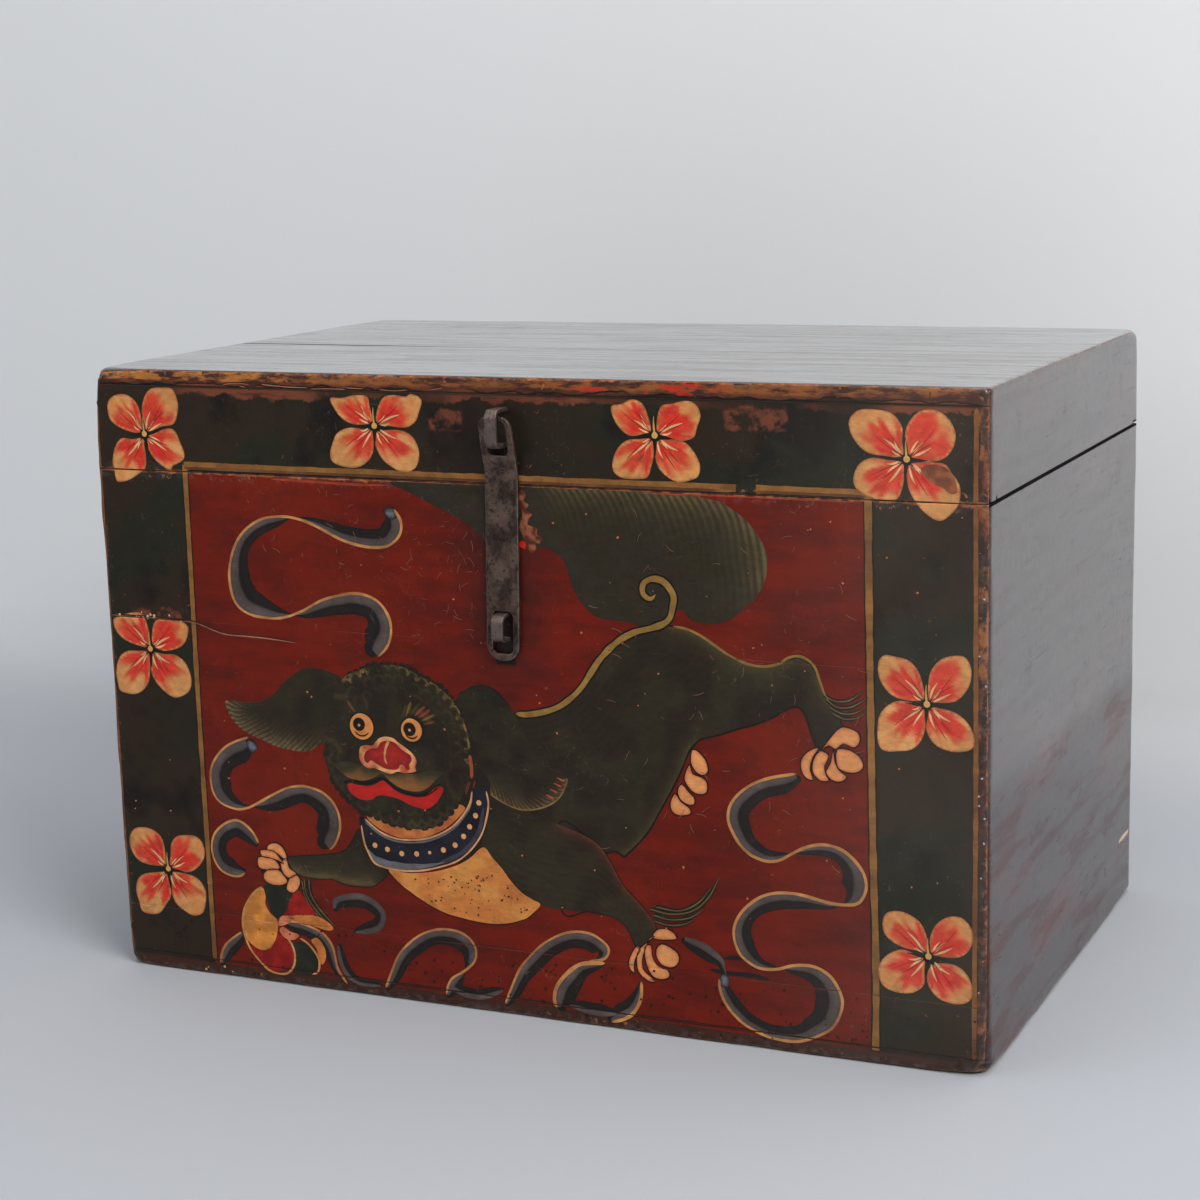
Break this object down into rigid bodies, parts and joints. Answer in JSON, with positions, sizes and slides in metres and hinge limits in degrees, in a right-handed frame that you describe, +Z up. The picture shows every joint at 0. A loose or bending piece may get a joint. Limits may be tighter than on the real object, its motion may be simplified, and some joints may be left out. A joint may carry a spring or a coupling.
{
  "type": "storage trunk",
  "caption": "Antique painted wooden storage trunk with a flat hinged lid and a forged iron hasp for a padlock.",
  "frame": {"origin": "middle of the underside, where the trunk stands", "axes": "+Z up; +X along the width, to the right as seen from the painted front; the front faces -Y"},
  "size_m": [0.666, 0.4534, 0.45],
  "materials": {
    "painted_wood": "old oil paint in dark green-black and brown-red, worn, satin",
    "lacquered_wood": "dark brown lacquer, worn, glossy",
    "peg_wood": "bare wood, oiled by age",
    "forged_iron": "hand-forged, brown patina, polished by handling"
  },
  "bodies": {
    "box": {"back_board_lower": "lacquered_wood", "back_board_upper": "lacquered_wood", "bottom_board_front": "lacquered_wood", "bottom_board_middle": "lacquered_wood", "bottom_board_rear": "lacquered_wood", "bottom_nails": "forged_iron", "corner_pegs_back": "peg_wood", "corner_pegs_front": "peg_wood", "front_board_lower": "painted_wood", "front_board_middle": "painted_wood", "front_board_upper": "painted_wood", "hinge_leaf_box_left": "forged_iron", "hinge_leaf_box_right": "forged_iron", "hinge_nails_box": "forged_iron", "hinge_pin_left": "forged_iron", "hinge_pin_right": "forged_iron", "left_side_board_lower": "lacquered_wood", "left_side_board_upper": "lacquered_wood", "padlock_staple": "forged_iron", "right_side_board_lower": "lacquered_wood", "right_side_board_upper": "lacquered_wood", "wall_edge_dowels": "peg_wood"},
    "lid": {"hinge_leaf_lid_left": "forged_iron", "hinge_leaf_lid_right": "forged_iron", "lid_back_rail": "lacquered_wood", "lid_corner_pegs_back": "peg_wood", "lid_corner_pegs_front": "peg_wood", "lid_edge_dowels": "peg_wood", "lid_front_rail": "painted_wood", "lid_left_rail": "lacquered_wood", "lid_right_rail": "lacquered_wood", "lid_staple": "forged_iron", "lid_top_board_front": "lacquered_wood", "lid_top_board_rear": "lacquered_wood", "lid_top_pegs": "peg_wood", "hinge_nails_lid": "forged_iron"},
    "hasp": {"hasp_strap": "forged_iron"}
  },
  "joints": [
    {"name": "lid_open", "type": "hinge", "parent": "box", "child": "lid", "pos_m": [0, 0.2171, 0.378], "axis": [-1, 0, 0], "range_deg": [0, 105]},
    {"name": "hasp_swing", "type": "hinge", "parent": "lid", "child": "hasp", "pos_m": [-0.0025, -0.225, 0.4236], "axis": [-1, 0, 0], "range_deg": [0, 215]}
  ]
}
